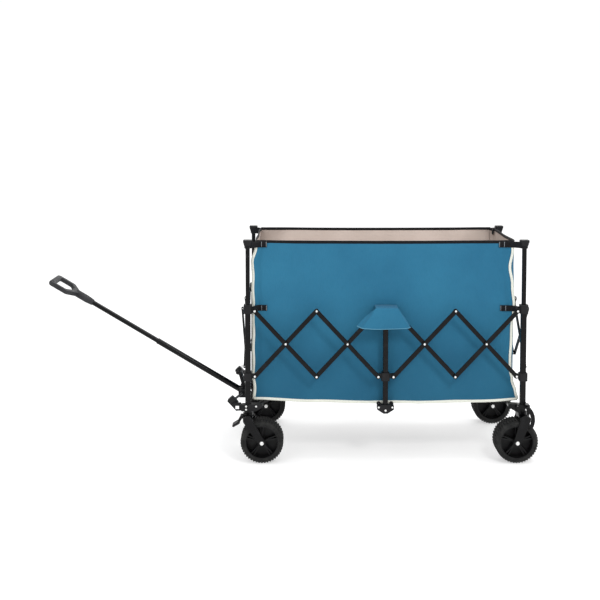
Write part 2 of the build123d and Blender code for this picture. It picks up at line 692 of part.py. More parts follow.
def bay_nodes():
    """The eight named nodes of the front bay, from the centre post outwards."""
    inner_cross = cross(CENTRE_TOP, MID_TOP)
    outer_cross = cross(MID_TOP, CORNER_TOP)
    return {
        "inner_arm_falling": both(side_arm(CENTRE_TOP, MID_LOW, INNER_LAYER)),
        "inner_arm_rising": both(side_arm(CENTRE_LOW, MID_TOP, OUTER_LAYER)),
        "outer_arm_rising": both(side_arm(MID_LOW, CORNER_TOP, OUTER_LAYER)),
        "outer_arm_falling": both(side_arm(MID_TOP, CORNER_LOW, INNER_LAYER)),
        "inner_rivets": both(*[rivet_y(*p, INNER_LAYER, OUTER_END) for p in (inner_cross, MID_LOW)]),
        "outer_rivets": both(
            *[rivet_y(*p, INNER_LAYER, OUTER_END) for p in (MID_TOP, outer_cross)],
            rivet_y(*CORNER_LOW, POST_OUT, INNER_END),
        ),
    }


def end_nodes():
    """The nodes that both end frames share."""
    return {
        "posts": corner_posts(),
        "post_caps": both(post_cap()),
        "brackets": both(corner_bracket(), end_tab()),
        "end_arms": end_arm_set(),
        "sliders": both(corner_slider()),
        "base_frame_outer": [base_outer()],
        "base_frame_inner": [base_inner()],
        "floor_pad_outer": [floor_pad(-566, BASE_MID - 1)],
        "floor_pad_inner": [floor_pad(BASE_MID + 1, -1)],
        "panel": [end_panel()],
    }


def main():
    """Make every sub-part and write one STEP file for each."""
    for name, solids in {**bay_nodes(), **end_nodes()}.items():
        write("front_" + name, solids)
        write("rear_" + name, [to_rear(s) for s in solids])
    write("centre_posts", centre_posts())
    write("centre_brackets", both(centre_top_bracket(), centre_foot_bracket()))
    write("centre_fasteners", centre_fasteners())
    write("centre_sliders", both(centre_slider()))
    write("side_panel_left", [side_panel()])
    write("side_panel_right", [mirror(side_panel(), about=Plane.XZ)])
    write("front_feet", both(front_foot()))
    write("front_fasteners", end_fasteners(FOOT_STUDS) + [hub_pin()])
    write("draw_linkage", both(foot_plate(), knuckle_block(), cross_link()) + [draw_hub()])
    write("rear_wheel_forks", [to_rear(s) for s in both(rear_fork())])
    rear_bright = end_fasteners(REAR_STUDS) + both(axle(-REAR_HUB_X))
    write("rear_fasteners", [to_rear(s) for s in rear_bright])
    left_pieces = {
        "caster_fork": caster_fork(),
        "front_axle": axle(FRONT_HUB_X),
        "brake_pedal": brake_pedal(),
    }
    for name, solid in left_pieces.items():
        write(name + "_left", [solid])
        write(name + "_right", [mirror(solid, about=Plane.XZ)])
    the_tyre = tyre()
    the_rim = rim()
    for end, hub_x in (("front", FRONT_HUB_X), ("rear", REAR_HUB_X)):
        for side, y in (("left", -POST_OUT), ("right", POST_OUT)):
            place = Pos(hub_x, y, WHEEL_R)
            write(f"{end}_tyre_{side}", [place * the_tyre])
            write(f"{end}_rim_{side}", [place * the_rim])
    write("handle_lower_tube", handle_lower())
    write("handle_upper_tube", handle_upper())
    write("handle_grip", handle_grip())


main()
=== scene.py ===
import json
import math

import bpy
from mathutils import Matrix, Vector, noise


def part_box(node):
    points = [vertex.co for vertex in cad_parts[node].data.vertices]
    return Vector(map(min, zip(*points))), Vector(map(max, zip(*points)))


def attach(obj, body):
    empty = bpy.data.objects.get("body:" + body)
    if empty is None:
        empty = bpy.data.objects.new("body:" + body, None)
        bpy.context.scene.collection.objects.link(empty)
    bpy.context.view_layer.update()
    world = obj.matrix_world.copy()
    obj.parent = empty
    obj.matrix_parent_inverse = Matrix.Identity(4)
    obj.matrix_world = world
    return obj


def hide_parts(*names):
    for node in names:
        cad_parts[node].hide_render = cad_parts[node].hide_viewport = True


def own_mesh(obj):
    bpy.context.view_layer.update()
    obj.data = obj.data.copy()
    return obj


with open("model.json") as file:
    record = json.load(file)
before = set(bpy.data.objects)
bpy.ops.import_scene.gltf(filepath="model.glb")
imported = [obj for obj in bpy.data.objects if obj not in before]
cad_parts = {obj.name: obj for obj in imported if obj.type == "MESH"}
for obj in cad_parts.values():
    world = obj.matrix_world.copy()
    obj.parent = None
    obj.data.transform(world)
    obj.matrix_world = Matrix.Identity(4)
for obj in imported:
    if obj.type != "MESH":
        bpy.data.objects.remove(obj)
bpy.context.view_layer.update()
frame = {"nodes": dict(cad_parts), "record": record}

# Places read from the frame, in metres. The wagon's left side is at negative Y.
TUB_LOW, TUB_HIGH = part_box("side_panel_left")[0].z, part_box("side_panel_left")[1].z
TUB_OUT = -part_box("side_panel_left")[0].y
TUB_X = -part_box("front_panel")[0].x
post_low, post_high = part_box("front_posts")
POST_X = -(post_low.x + post_high.x) / 2
POST_OUT = (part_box("caster_fork_left")[0].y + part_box("caster_fork_left")[1].y) / -2
RIM_Z = TUB_HIGH + 0.009
RIVET_OUT = -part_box("front_inner_rivets")[0].y
RIM_RADIUS = (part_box("front_rim_left")[1].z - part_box("front_rim_left")[0].z) / 2
SIDES = {"left": -1, "right": 1}
ENDS = {"front": -1, "rear": 1}

# Chosen sizes, in metres. FOLD_KEEP is the share of a side wall's length left when the frame is folded.
ARM_END = 0.0095
WALL_THICK = 0.0028
FLAP_THICK = 0.0016
HEM_RISE = 0.004
TRIM_INSET = 0.0014
BINDING_SIZE = (0.0135, 0.0062)
SIDE_HEM_SIZE = (0.0125, 0.0085)
END_HEM_SIZE = (0.012, 0.0085)
CORNER_PIPING_SIZE = (0.0125, 0.008)
PIPING_ROUND = 0.45
STRAP_THICK = 0.0026
STITCH_SIZE = (0.0018, 0.0012)
FLAP_HEM_SIZE = (0.0042, 0.0034)
PIN_HEAD_R = 0.0052
LUGS = 46
TREAD_DEEP = 0.0036

# Where each strap lies: its lower and upper edge, and how far it reaches along the side wall.
TOP_TIE = (0.943, 0.970)
TOP_END_TIE = (0.942, 0.969)
MIDDLE_TIE = (0.661, 0.687)
TOP_REACH = {"front": 0.045, "rear": 0.060}
MIDDLE_REACH = 0.059

# Camera: out to the left, a little above the rim, tipped a little down, with a small shift for the framing.
CAMERA_AT = (-0.3754, -4.9369, 1.5220)
CAMERA_LENS = 64.11
CAMERA_TIP = 3.474
CAMERA_SHIFT = -0.2


# ---------------------------------------------------------------- mesh helpers

def new_mesh(name, verts, faces, mats, picks=None):
    """A smooth-shaded mesh object whose faces take the listed material numbers."""
    mesh = bpy.data.meshes.new(name)
    mesh.from_pydata([tuple(v) for v in verts], [], faces)
    mesh.validate()
    for m in mats:
        mesh.materials.append(m)
    for k, face in enumerate(mesh.polygons):
        face.use_smooth = True
        if picks:
            face.material_index = picks[k]
    obj = bpy.data.objects.new(name, mesh)
    bpy.context.scene.collection.objects.link(obj)
    return obj


def grid_faces(rows, cols, start=0, flip=False):
    """Quads over a rows by cols grid of vertices."""
    faces = []
    for r in range(rows - 1):
        for c in range(cols - 1):
            a = start + r * cols + c
            quad = (a, a + 1, a + cols + 1, a + cols)
            faces.append(quad[::-1] if flip else quad)
    return faces


def two_sided(name, rows, cols, outer_at, inner_at, outer_mat, inner_mat):
    """A closed cloth sheet: an outer and an inner grid joined round the rim."""
    verts = [outer_at(r / (rows - 1), c / (cols - 1)) for r in range(rows) for c in range(cols)]
    verts += [inner_at(r / (rows - 1), c / (cols - 1)) for r in range(rows) for c in range(cols)]
    count = rows * cols
    faces = grid_faces(rows, cols) + grid_faces(rows, cols, count, True)
    picks = [0] * ((rows - 1) * (cols - 1)) + [1] * ((rows - 1) * (cols - 1))
    rim = [(0, c) for c in range(cols)] + [(r, cols - 1) for r in range(1, rows)]
    rim += [(rows - 1, c) for c in range(cols - 2, -1, -1)] + [(r, 0) for r in range(rows - 2, 0, -1)]
    for k, (r, c) in enumerate(rim):
        r2, c2 = rim[(k + 1) % len(rim)]
        a, b = r * cols + c, r2 * cols + c2
        faces.append((b, a, a + count, b + count))
        picks.append(0)
    return new_mesh(name, verts, faces, [outer_mat, inner_mat], picks)


def strip(name, points, size, mat, facing, corner=0.35):
    """A flat strap or binding swept along points; size is its width and its thickness along facing(k)."""
    wide, thick = size
    section = []
    for sx, sy in ((1, 1), (-1, 1), (-1, -1), (1, -1)):
        cut = min(wide, thick) * corner
        first = (sx * (wide / 2 - cut), sy * thick / 2)
        second = (sx * wide / 2, sy * (thick / 2 - cut))
        section += [first, second] if sx * sy < 0 else [second, first]
    verts = []
    count = len(points)
    for k, p in enumerate(points):
        ahead = Vector(points[min(k + 1, count - 1)])
        behind = Vector(points[max(k - 1, 0)])
        along = (ahead - behind).normalized()
        out = Vector(facing(k))
        out = (out - along * out.dot(along)).normalized()
        across = along.cross(out)
        verts += [Vector(p) + across * a + out * b for a, b in section]
    n = len(section)
    faces = []
    for k in range(count - 1):
        a, b = k * n, (k + 1) * n
        faces += [(a + i, a + (i + 1) % n, b + (i + 1) % n, b + i) for i in range(n)]
    faces += [tuple(range(n))[::-1], tuple((count - 1) * n + i for i in range(n))]
    return new_mesh(name, verts, faces, [mat])


def blur(x, low, high):
    """0 below low, 1 above high, smooth between."""
    t = min(1.0, max(0.0, (x - low) / (high - low)))
    return t * t * (3 - 2 * t)


def rough(x, y, z, size, seed=0.0):
    """Smooth random value of about -1 to 1 that is the same each run."""
    return noise.noise(Vector((x / size + seed, y / size - seed, z / size + 2 * seed)))


# ---------------------------------------------------------------- materials

class Nodes:
    """A short way to write a material's nodes."""

    def __init__(self, name, colour, roughness, metallic=0.0):
        self.mat = bpy.data.materials.new(name)
        self.mat.use_nodes = True
        self.tree = self.mat.node_tree
        self.shader = self.tree.nodes["Principled BSDF"]
        self.shader.inputs["Base Color"].default_value = (*colour, 1)
        self.shader.inputs["Roughness"].default_value = roughness
        self.shader.inputs["Metallic"].default_value = metallic
        self.place = self.add("ShaderNodeTexCoord").outputs["Object"]
        self.height = None

    def add(self, kind, **values):
        """A new node, with values set on its sockets or else on the node itself."""
        node = self.tree.nodes.new(kind)
        for key, value in values.items():
            if key in node.inputs:
                node.inputs[key].default_value = value
            else:
                setattr(node, key, value)
        return node

    def join(self, output, socket):
        self.tree.links.new(output, socket)

    def axes(self):
        """The X, Y and Z of the place on the object."""
        node = self.add("ShaderNodeSeparateXYZ")
        self.join(self.place, node.inputs[0])
        return node.outputs

    def math(self, operation, a, b=None):
        """One arithmetic step on sockets or plain numbers."""
        node = self.add("ShaderNodeMath", operation=operation)
        for k, value in enumerate((a, b)):
            if value is None:
                continue
            if isinstance(value, (int, float)):
                node.inputs[k].default_value = value
            else:
                self.join(value, node.inputs[k])
        return node.outputs[0]

    def noise(self, scale, detail=3.0, stretch=(1, 1, 1)):
        """Noise of about scale features per metre."""
        spread = self.add("ShaderNodeMapping")
        spread.inputs["Scale"].default_value = stretch
        self.join(self.place, spread.inputs["Vector"])
        node = self.add("ShaderNodeTexNoise", Scale=scale, Detail=detail)
        self.join(spread.outputs[0], node.inputs["Vector"])
        return node.outputs["Fac"]

    def ramp(self, value, low, high, to_low, to_high):
        """Maps low..high to to_low..to_high, held at both ends."""
        node = self.add("ShaderNodeMapRange")
        sockets = {"From Min": low, "From Max": high, "To Min": to_low, "To Max": to_high}
        for socket, number in sockets.items():
            node.inputs[socket].default_value = number
        self.join(value, node.inputs["Value"])
        return node.outputs["Result"]

    def mix(self, factor, first, second):
        """Mixes two plain colours."""
        node = self.add("ShaderNodeMix", data_type="RGBA")
        node.inputs[6].default_value = (*first, 1)
        node.inputs[7].default_value = (*second, 1)
        self.join(factor, node.inputs[0])
        return node.outputs[2]

    def tint(self, colour, factor, second):
        """Mixes a second colour over one already made."""
        node = self.add("ShaderNodeMix", data_type="RGBA")
        self.join(colour, node.inputs[6])
        node.inputs[7].default_value = (*second, 1)
        self.join(factor, node.inputs[0])
        return node.outputs[2]

    def colour(self, output):
        self.join(output, self.shader.inputs["Base Color"])

    def roughness(self, output):
        self.join(output, self.shader.inputs["Roughness"])

    def bump(self, value, distance, strength=1.0):
        """Adds a layer of bump, distance in metres."""
        node = self.add("ShaderNodeBump", Distance=distance, Strength=strength)
        self.join(value, node.inputs["Height"])
        if self.height:
            self.join(self.height, node.inputs["Normal"])
        self.height = node.outputs["Normal"]
        self.join(self.height, self.shader.inputs["Normal"])

    def set(self, **values):
        """Sets plain values on the shader's own sockets and hands back the material."""
        for key, value in values.items():
            self.shader.inputs[key.replace("_", " ")].default_value = value
        return self.mat


def weave(n, pitch, flat=False):
    """Threads crossing over and under; walls run along X or Y and Z, floors along X and Y."""
    x, y, z = n.axes()
    turn = 2 * math.pi / pitch
    first = n.math("SINE", n.math("MULTIPLY", x if flat else n.math("ADD", x, y), turn))
    second = n.math("SINE", n.math("MULTIPLY", y if flat else z, turn))
    return n.math("MULTIPLY", first, second)


def scaled(colour, share):
    """A colour made darker or lighter."""
    return tuple(c * share for c in colour)


def cloth_material(name, dark, light, pitch, flat=False, shade=0.5, low_shade=0.0, corner_shade=0.0):
    """Plain-woven polyester with threads and slubs, with painted shade darkening it towards the hem and
    painted shade at the ends of the wall.
    """
    n = Nodes(name, light, 0.82)
    drift = n.ramp(n.noise(3.2, 4), 0.3, 0.7, 0.0, 1.0)
    colour = n.mix(drift, dark, light)
    # Painted shade: the cloth is darkened towards the bottom of the wall.
    if low_shade:
        low_shade_mask = n.ramp(n.axes()[2], 0.72, 0.27, 0.0, low_shade)
        colour = n.tint(colour, low_shade_mask, scaled(dark, 0.4))
    # Painted shade: the cloth is darkened towards the corners at both ends of the wall, with a ragged edge.
    if corner_shade:
        patchy = n.math("MULTIPLY", n.noise(14, 3), 0.08)
        out = n.math("ADD", n.math("ABSOLUTE", n.axes()[0]), patchy)
        colour = n.tint(colour, n.ramp(out, 0.46, 0.60, 0.0, corner_shade), scaled(dark, 0.45))
    slub = n.ramp(n.noise(420, 2, (1, 1, 0.12)), 0.45, 0.75, 0.0, shade * 0.35)
    colour = n.tint(colour, slub, scaled(dark, 0.72))
    thread = weave(n, pitch, flat)
    colour = n.tint(colour, n.ramp(thread, -1, 1, shade * 0.22, 0.0), scaled(dark, 0.5))
    n.colour(colour)
    n.roughness(n.ramp(n.noise(60), 0.3, 0.7, 0.72, 0.9))
    n.bump(n.noise(14, 5), 0.004, 0.35)
    n.bump(n.noise(70, 3), 0.0008, 0.3)
    n.bump(thread, 0.00022, 0.6)
    return n.set(Sheen_Weight=0.06, Sheen_Roughness=0.5, Specular_IOR_Level=0.1)


def webbing_material(name, base, fleck=1.7):
    """Ribbed polyester tape."""
    n = Nodes(name, base, 0.8)
    rib = n.noise(900, 1, (1, 1, 0.15))
    n.colour(n.mix(n.ramp(n.noise(160), 0.35, 0.7, 0.0, 1.0), base, scaled(base, fleck)))
    n.roughness(n.ramp(n.noise(90), 0.3, 0.7, 0.68, 0.88))
    n.bump(rib, 0.0005, 0.7)
    n.bump(weave(n, 0.0018), 0.0002, 0.7)
    return n.set(Sheen_Weight=0.04, Specular_IOR_Level=0.12)


def paint_material():
    """Black powder coat with fine orange peel and slightly polished rub marks."""
    n = Nodes("powder_coat", (0.004, 0.004, 0.005), 0.34)
    rub = n.ramp(n.noise(26, 6), 0.56, 0.72, 0.0, 1.0)
    n.colour(n.mix(rub, (0.0012, 0.0012, 0.0016), (0.005, 0.005, 0.006)))
    n.roughness(n.ramp(n.noise(40, 5), 0.3, 0.7, 0.20, 0.32))
    n.bump(n.noise(900, 2), 0.00012, 0.4)
    n.bump(n.noise(120, 2), 0.0003, 0.2)
    return n.set(Specular_IOR_Level=0.17)


def plastic_material(name, dark, light, rough_low, rough_high):
    """Moulded nylon with a spark-eroded grain."""
    n = Nodes(name, dark, rough_low)
    n.colour(n.mix(n.ramp(n.noise(22, 4), 0.35, 0.7, 0.0, 1.0), dark, light))
    n.roughness(n.ramp(n.noise(55, 3), 0.3, 0.7, rough_low, rough_high))
    n.bump(n.noise(1100, 2), 0.00018, 0.5)
    n.bump(n.noise(35, 2), 0.0004, 0.15)
    return n.set(Specular_IOR_Level=0.2)


def zinc_material():
    """Bright zinc with fine turned lines."""
    n = Nodes("bright_zinc", (0.78, 0.78, 0.77), 0.3, 0.9)
    n.colour(n.mix(n.ramp(n.noise(300, 3), 0.3, 0.7, 0.0, 1.0), (0.62, 0.62, 0.61), (0.9, 0.9, 0.89)))
    n.roughness(n.ramp(n.noise(500, 2), 0.3, 0.7, 0.22, 0.42))
    n.bump(n.noise(1500, 2, (1, 1, 4)), 0.00008, 0.4)
    return n.mat


def rubber_material():
    """Dull foam rubber with a dusty bloom."""
    n = Nodes("tyre_rubber", (0.014, 0.014, 0.014), 0.8)
    bloom = n.ramp(n.noise(45, 6), 0.42, 0.75, 0.0, 1.0)
    n.colour(n.mix(bloom, (0.011, 0.011, 0.011), (0.026, 0.026, 0.025)))
    n.roughness(n.ramp(n.noise(80, 4), 0.3, 0.7, 0.7, 0.92))
    n.bump(n.noise(700, 3), 0.0003, 0.5)
    n.bump(n.noise(60, 3), 0.0006, 0.2)
    return n.set(Specular_IOR_Level=0.2)


def floor_material():
    """A white light table: it glows evenly, so that only a trace of shadow shows on it."""
    n = Nodes("studio_floor", (0.6, 0.6, 0.6), 0.9)
    n.colour(n.mix(n.noise(2, 2), (0.595, 0.595, 0.595), (0.605, 0.605, 0.605)))
    return n.set(Emission_Color=(1.0, 1.0, 1.0, 1.0), Emission_Strength=0.48)


# The blue tub cloth carries painted shade that darkens it towards the hem.
BLUE = cloth_material("tub_blue", (0.020, 0.122, 0.218), (0.028, 0.160, 0.270), 0.0014, low_shade=0.42)
BLUE_LIGHT = cloth_material("tub_blue_hem", (0.06, 0.20, 0.30), (0.10, 0.28, 0.40), 0.0014)
# The lining carries painted shade that darkens it towards its corners.
BEIGE = cloth_material(
    "tub_lining", (0.56, 0.475, 0.425), (0.70, 0.60, 0.545), 0.0014, shade=0.25, corner_shade=0.5,
)
PAD_CLOTH = cloth_material(
    "floor_cloth", (0.36, 0.305, 0.265), (0.47, 0.40, 0.345), 0.0016, flat=True, shade=0.3,
)
PAD_UNDER = cloth_material("floor_under", (0.010, 0.012, 0.015), (0.02, 0.022, 0.026), 0.0016, flat=True)
BINDING = webbing_material("black_binding", (0.005, 0.005, 0.006))
PIPING = webbing_material("cream_piping", (0.66, 0.67, 0.60), 1.1)
STITCH = webbing_material("pale_stitching", (0.24, 0.26, 0.28), 1.3)
PAINT = paint_material()
NYLON = plastic_material("black_nylon", (0.005, 0.005, 0.006), (0.011, 0.011, 0.012), 0.42, 0.6)
RIM_PLASTIC = plastic_material("rim_plastic", (0.003, 0.003, 0.0035), (0.007, 0.007, 0.0075), 0.36, 0.5)
GRIP_PLASTIC = plastic_material("grip_plastic", (0.018, 0.018, 0.020), (0.034, 0.035, 0.037), 0.45, 0.65)
ZINC = zinc_material()
RUBBER = rubber_material()

SLOT_MATERIAL = {
    "frame_paint": PAINT,
    "moulded_black": NYLON,
    "bright_steel": ZINC,
    "tub_fabric": BLUE,
    "floor_pad": PAD_CLOTH,
    "tyre": RUBBER,
    "rim": RIM_PLASTIC,
    "grip": GRIP_PLASTIC,
}


def dress_cad():
    """Gives each CAD node the finish of its slot."""
    slots = {s["node"]: s["material_slot"] for s in frame["record"]["subparts"]}
    for name, obj in frame["nodes"].items():
        obj.data.materials.clear()
        obj.data.materials.append(SLOT_MATERIAL[slots[name]])


# ---------------------------------------------------------------- the tub

# Where the corner seams lie along X at each height: pulled in between the ties, out at the ties and hem.
FRONT_SEAM = (
    (0.264, -0.578), (0.32, -0.575), (0.385, -0.580), (0.55, -0.579), (0.70, -0.580),
    (0.80, -0.581), (0.88, -0.583), (0.94, -0.569), (0.97, -0.565),
)
REAR_SEAM = (
    (0.264, 0.585), (0.30, 0.577), (0.358, 0.561), (0.40, 0.551), (0.50, 0.553), (0.62, 0.558),
    (0.70, 0.566), (0.78, 0.556), (0.86, 0.547), (0.935, 0.556), (0.97, 0.558),
)


def seam_x(end, z):
    """The seam's place, smooth between the listed heights, with a little ripple."""
    places = FRONT_SEAM if end < 0 else REAR_SEAM
    ripple = 0.0012 * math.sin(z * 49.0 + end)
    if z <= places[0][0]:
        return places[0][1] + ripple
    for (z0, x0), (z1, x1) in zip(places, places[1:]):
        if z <= z1:
            return x0 + (x1 - x0) * blur(z, z0, z1) + ripple
    return places[-1][1] + ripple


def along_wall(z, u):
    """Place along a side wall at one height: u runs from the front seam to the rear one."""
    return seam_x(-1, z) + (seam_x(1, z) - seam_x(-1, z)) * u


def top_edge(x, y):
    """Height of the rim: held at the corner straps and sagging a little between them."""
    share_x = 1 - (x / TUB_X) ** 2
    share_y = 1 - (y / TUB_OUT) ** 2
    return RIM_Z - 0.003 * max(0.0, share_x) * (abs(y) > TUB_OUT * 0.9) - 0.007 * share_y


def bottom_edge(x):
    """Height of the hem: it hangs lower between the corners, with slack waves."""
    sag = 0.014 * max(0.0, 1 - ((x - 0.06) / TUB_X) ** 2)
    return TUB_LOW + 0.002 - sag + 0.0012 * math.sin(x * 23 + 0.8)


def side_depth(side, x, z):
    """How far the side wall stands from the centre plane: slack, folds at the seams and strap pulls."""
    edge = min(1.0, (TUB_X - abs(x)) / 0.16)
    middle = max(0.0, edge) ** 0.6
    high = (z - TUB_LOW) / (TUB_HIGH - TUB_LOW)
    belly = -0.007 * middle * math.sin(math.pi * high) + 0.004 * rough(x, side, z, 0.35, 3.0) * middle
    waves = 0.0022 * rough(x * 1.6, side, z * 0.55, 0.11, 7.0) * middle
    pull = 0.0
    for end in (-1, 1):
        for tie in (0.952, 0.672):
            dx = abs(x - end * TUB_X)
            dz = z - tie
            reach = math.exp(-((dx / 0.17) ** 2) - (dz / 0.10) ** 2)
            pull += 0.0035 * reach * math.sin(38 * (dz - 0.55 * dx) + 2 * end)
    corner = math.exp(-((TUB_X - abs(x)) / 0.05) ** 2 - ((z - TUB_LOW) / 0.09) ** 2)
    crease = -0.006 * corner
    seam_fold = 0.0035 * math.exp(-(((TUB_X - abs(x)) - 0.022) / 0.010) ** 2) * blur(z, 0.3, 0.5)
    return TUB_OUT + belly + waves + pull + crease - seam_fold


def side_wall(label, side):
    """One long wall of the tub with its lining."""
    def at(v, u, inset):
        x_guess = -TUB_X + 2 * TUB_X * u
        low, high = bottom_edge(x_guess), top_edge(x_guess, side * TUB_OUT)
        z = low + (high - low) * v
        x = along_wall(z, u)
        shift = 0.0015 if inset else 0.0
        out = side_depth(side, x_guess, z) - inset
        return Vector((x + shift * (1 - 2 * u), side * out, z))

    wall = two_sided(
        f"tub_side_{label}", 90, 170,
        lambda v, u: at(v, u, 0.0), lambda v, u: at(v, u, WALL_THICK), BLUE, BEIGE,
    )
    if side > 0:
        wall.data.flip_normals()
    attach(wall, "centre_frame")
    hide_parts(f"side_panel_{label}")
    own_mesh(wall)


def end_bulge(end, y, z):
    """How far an end wall stands out beyond its own seams."""
    middle = max(0.0, 1 - (y / TUB_OUT) ** 2) ** 0.5
    high = (z - TUB_LOW) / (TUB_HIGH - TUB_LOW)
    slack = 0.001 + 0.003 * math.sin(math.pi * high) if end > 0 else -0.004
    return middle * (slack + 0.0035 * rough(y, z, end, 0.16, 5.0))


def end_wall_x(end, y, z):
    """The end wall's place: nearly flat across, drawn in to the seam only at the corner."""
    near, far = seam_x(end, z), end * (TUB_X - 0.001)
    corner = (abs(y) / TUB_OUT) ** (10 if end > 0 else 6)
    return far + (near - far) * corner + end * end_bulge(end, y, z) * (1 - corner)


def end_wall(label, end):
    """One end wall, sewn to the side walls along the corner seams."""
    def at(v, u, inset):
        y = -TUB_OUT + 2 * TUB_OUT * u
        z = TUB_LOW + HEM_RISE + (top_edge(0.0, y) - TUB_LOW - HEM_RISE) * v
        return Vector((end_wall_x(end, y, z) - end * inset, y * (1 - inset * 0.8), z))

    wall = two_sided(
        f"tub_{label}", 80, 80,
        lambda v, u: at(v, u, 0.0), lambda v, u: at(v, u, WALL_THICK), BLUE, BEIGE,
    )
    if end < 0:
        wall.data.flip_normals()
    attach(wall, f"{label}_frame")
    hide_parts(f"{label}_panel")


def soft_piece(obj, body, folds=False):
    """Rides a trim piece on its body; with folds it gets a mesh of its own."""
    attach(obj, body)
    if folds:
        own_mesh(obj)


def side_trim(label, side):
    """Rim binding and hem piping of one side wall."""
    steps = 90
    rim, hem = [], []
    for k in range(steps + 1):
        u = k / steps
        x0 = -TUB_X + 2 * TUB_X * u
        top, low = top_edge(x0, side * TUB_OUT), bottom_edge(x0)
        rim.append((along_wall(top, u), side * (side_depth(side, x0, top) - TRIM_INSET), top - 0.004))
        hem.append((along_wall(low, u), side * (side_depth(side, x0, low) - 0.0005), low + 0.002))
    out = (0, side, 0)
    band = strip(f"rim_binding_{label}", rim, BINDING_SIZE, BINDING, lambda k: out)
    soft_piece(band, "centre_frame", folds=True)
    pipe = strip(f"hem_piping_{label}", hem, SIDE_HEM_SIZE, PIPING, lambda k: out, PIPING_ROUND)
    soft_piece(pipe, "centre_frame", folds=True)


def corner_piping(label, end, name, side):
    """The cream piping down one corner seam, bound in just under the rim."""
    seam = []
    for k in range(71):
        z = TUB_LOW + HEM_RISE + (RIM_Z - 0.026 - TUB_LOW) * k / 70
        out = side_depth(side, end * TUB_X, z) + 0.0015
        seam.append((seam_x(end, z) + end * 0.001, side * out, z))
    facing = (end * 0.3, side, 0)
    pipe = strip(
        f"corner_piping_{label}_{name}", seam, CORNER_PIPING_SIZE, PIPING, lambda k: facing, PIPING_ROUND,
    )
    soft_piece(pipe, f"{label}_frame")


def end_trim(label, end):
    """Rim binding, hem piping and the two corner pipings of one end wall."""
    steps = 60
    rim, hem = [], []
    for k in range(steps + 1):
        y = -TUB_OUT + 2 * TUB_OUT * k / steps
        top, low = top_edge(0.0, y), TUB_LOW + HEM_RISE
        rim.append((end_wall_x(end, y, top) - end * TRIM_INSET, y, top - 0.004))
        hem.append((end_wall_x(end, y, low) - end * TRIM_INSET, y, low + 0.002))
    out = (end, 0, 0)
    soft_piece(strip(f"rim_binding_{label}", rim, BINDING_SIZE, BINDING, lambda k: out), f"{label}_frame")
    pipe = strip(f"hem_piping_{label}", hem, END_HEM_SIZE, PIPING, lambda k: out, PIPING_ROUND)
    soft_piece(pipe, f"{label}_frame")
    for name, side in SIDES.items():
        corner_piping(label, end, name, side)


def strap_band(label, end, name, side, tie, edges, reach):
    """A webbing band from round the post to a stitched patch on the side wall."""
    low, high = edges
    mid, tall = (low + high) / 2, high - low
    post_x, post_y = end * POST_X, side * POST_OUT
    seam = seam_x(end, mid)

    def wall_y(x):
        return side * (side_depth(side, x, mid) + 0.0032)

    route = [
        (post_x + end * 0.0128, post_y - side * 0.004, mid),
        (post_x + end * 0.011, post_y + side * 0.0105, mid),
        (post_x - end * 0.002, post_y + side * 0.0135, mid),
        (post_x - end * 0.014, post_y + side * 0.0115, mid),
        (post_x - end * 0.027, post_y - side * 0.004, mid),
        (seam - end * 0.012, wall_y(seam) + side * 0.002, mid),
        (seam - end * 0.024, wall_y(seam - end * 0.024), mid),
        (seam - end * reach, wall_y(seam - end * reach), mid),
    ]
    smooth = smoothed(route, 4)
    body = f"{label}_frame"

    def facing(k):
        p = smooth[k]
        away = Vector((p.x - (post_x - end * 0.006), p.y - (post_y - side * 0.012), 0))
        return away if abs(p.x - post_x) < 0.016 else Vector((0, side, 0))

    band = strip(f"{tie}_strap_{label}_{name}", smooth, (tall, STRAP_THICK), BINDING, facing)
    soft_piece(band, body)
    for tag, back in (("inner", reach - 0.003), ("outer", reach - 0.024)):
        x = seam - end * back
        line = [(x, wall_y(x) + side * 0.0016, z) for z in (low + 0.002, high - 0.002)]
        stitch = strip(
            f"{tie}_stitch_{tag}_{label}_{name}", line, STITCH_SIZE, STITCH, lambda k: (0, side, 0),
        )
        soft_piece(stitch, body)


def smoothed(points, between):
    """Points along a Catmull-Rom curve through the given ones."""
    made = []
    for k in range(len(points) - 1):
        p0, p1 = Vector(points[max(k - 1, 0)]), Vector(points[k])
        p2, p3 = Vector(points[k + 1]), Vector(points[min(k + 2, len(points) - 1)])
        for s in range(between):
            t = s / between
            made.append(
                0.5 * ((2 * p1) + (p2 - p0) * t + (2 * p0 - 5 * p1 + 4 * p2 - p3) * t * t
                       + (3 * p1 - p0 - 3 * p2 + p3) * t ** 3)
            )
    return made + [Vector(points[-1])]


def end_strap(label, end, name, side, tie, edges):
    """The matching patch of webbing on the end wall, back to the post."""
    low, high = edges
    mid = (low + high) / 2
    wall_x = seam_x(end, mid) + end * 0.003
    route = [
        (end * POST_X, side * (POST_OUT - 0.013), mid),
        (wall_x + end * 0.006, side * (TUB_OUT + 0.004), mid),
        (wall_x + end * 0.003, side * (TUB_OUT - 0.014), mid),
        (wall_x + end * 0.003, side * (TUB_OUT - 0.046), mid),
    ]
    band = strip(
        f"{tie}_end_strap_{label}_{name}", smoothed(route, 4), (high - low, STRAP_THICK), BINDING,
        lambda k: (end, 0, 0),
    )
    soft_piece(band, f"{label}_frame")


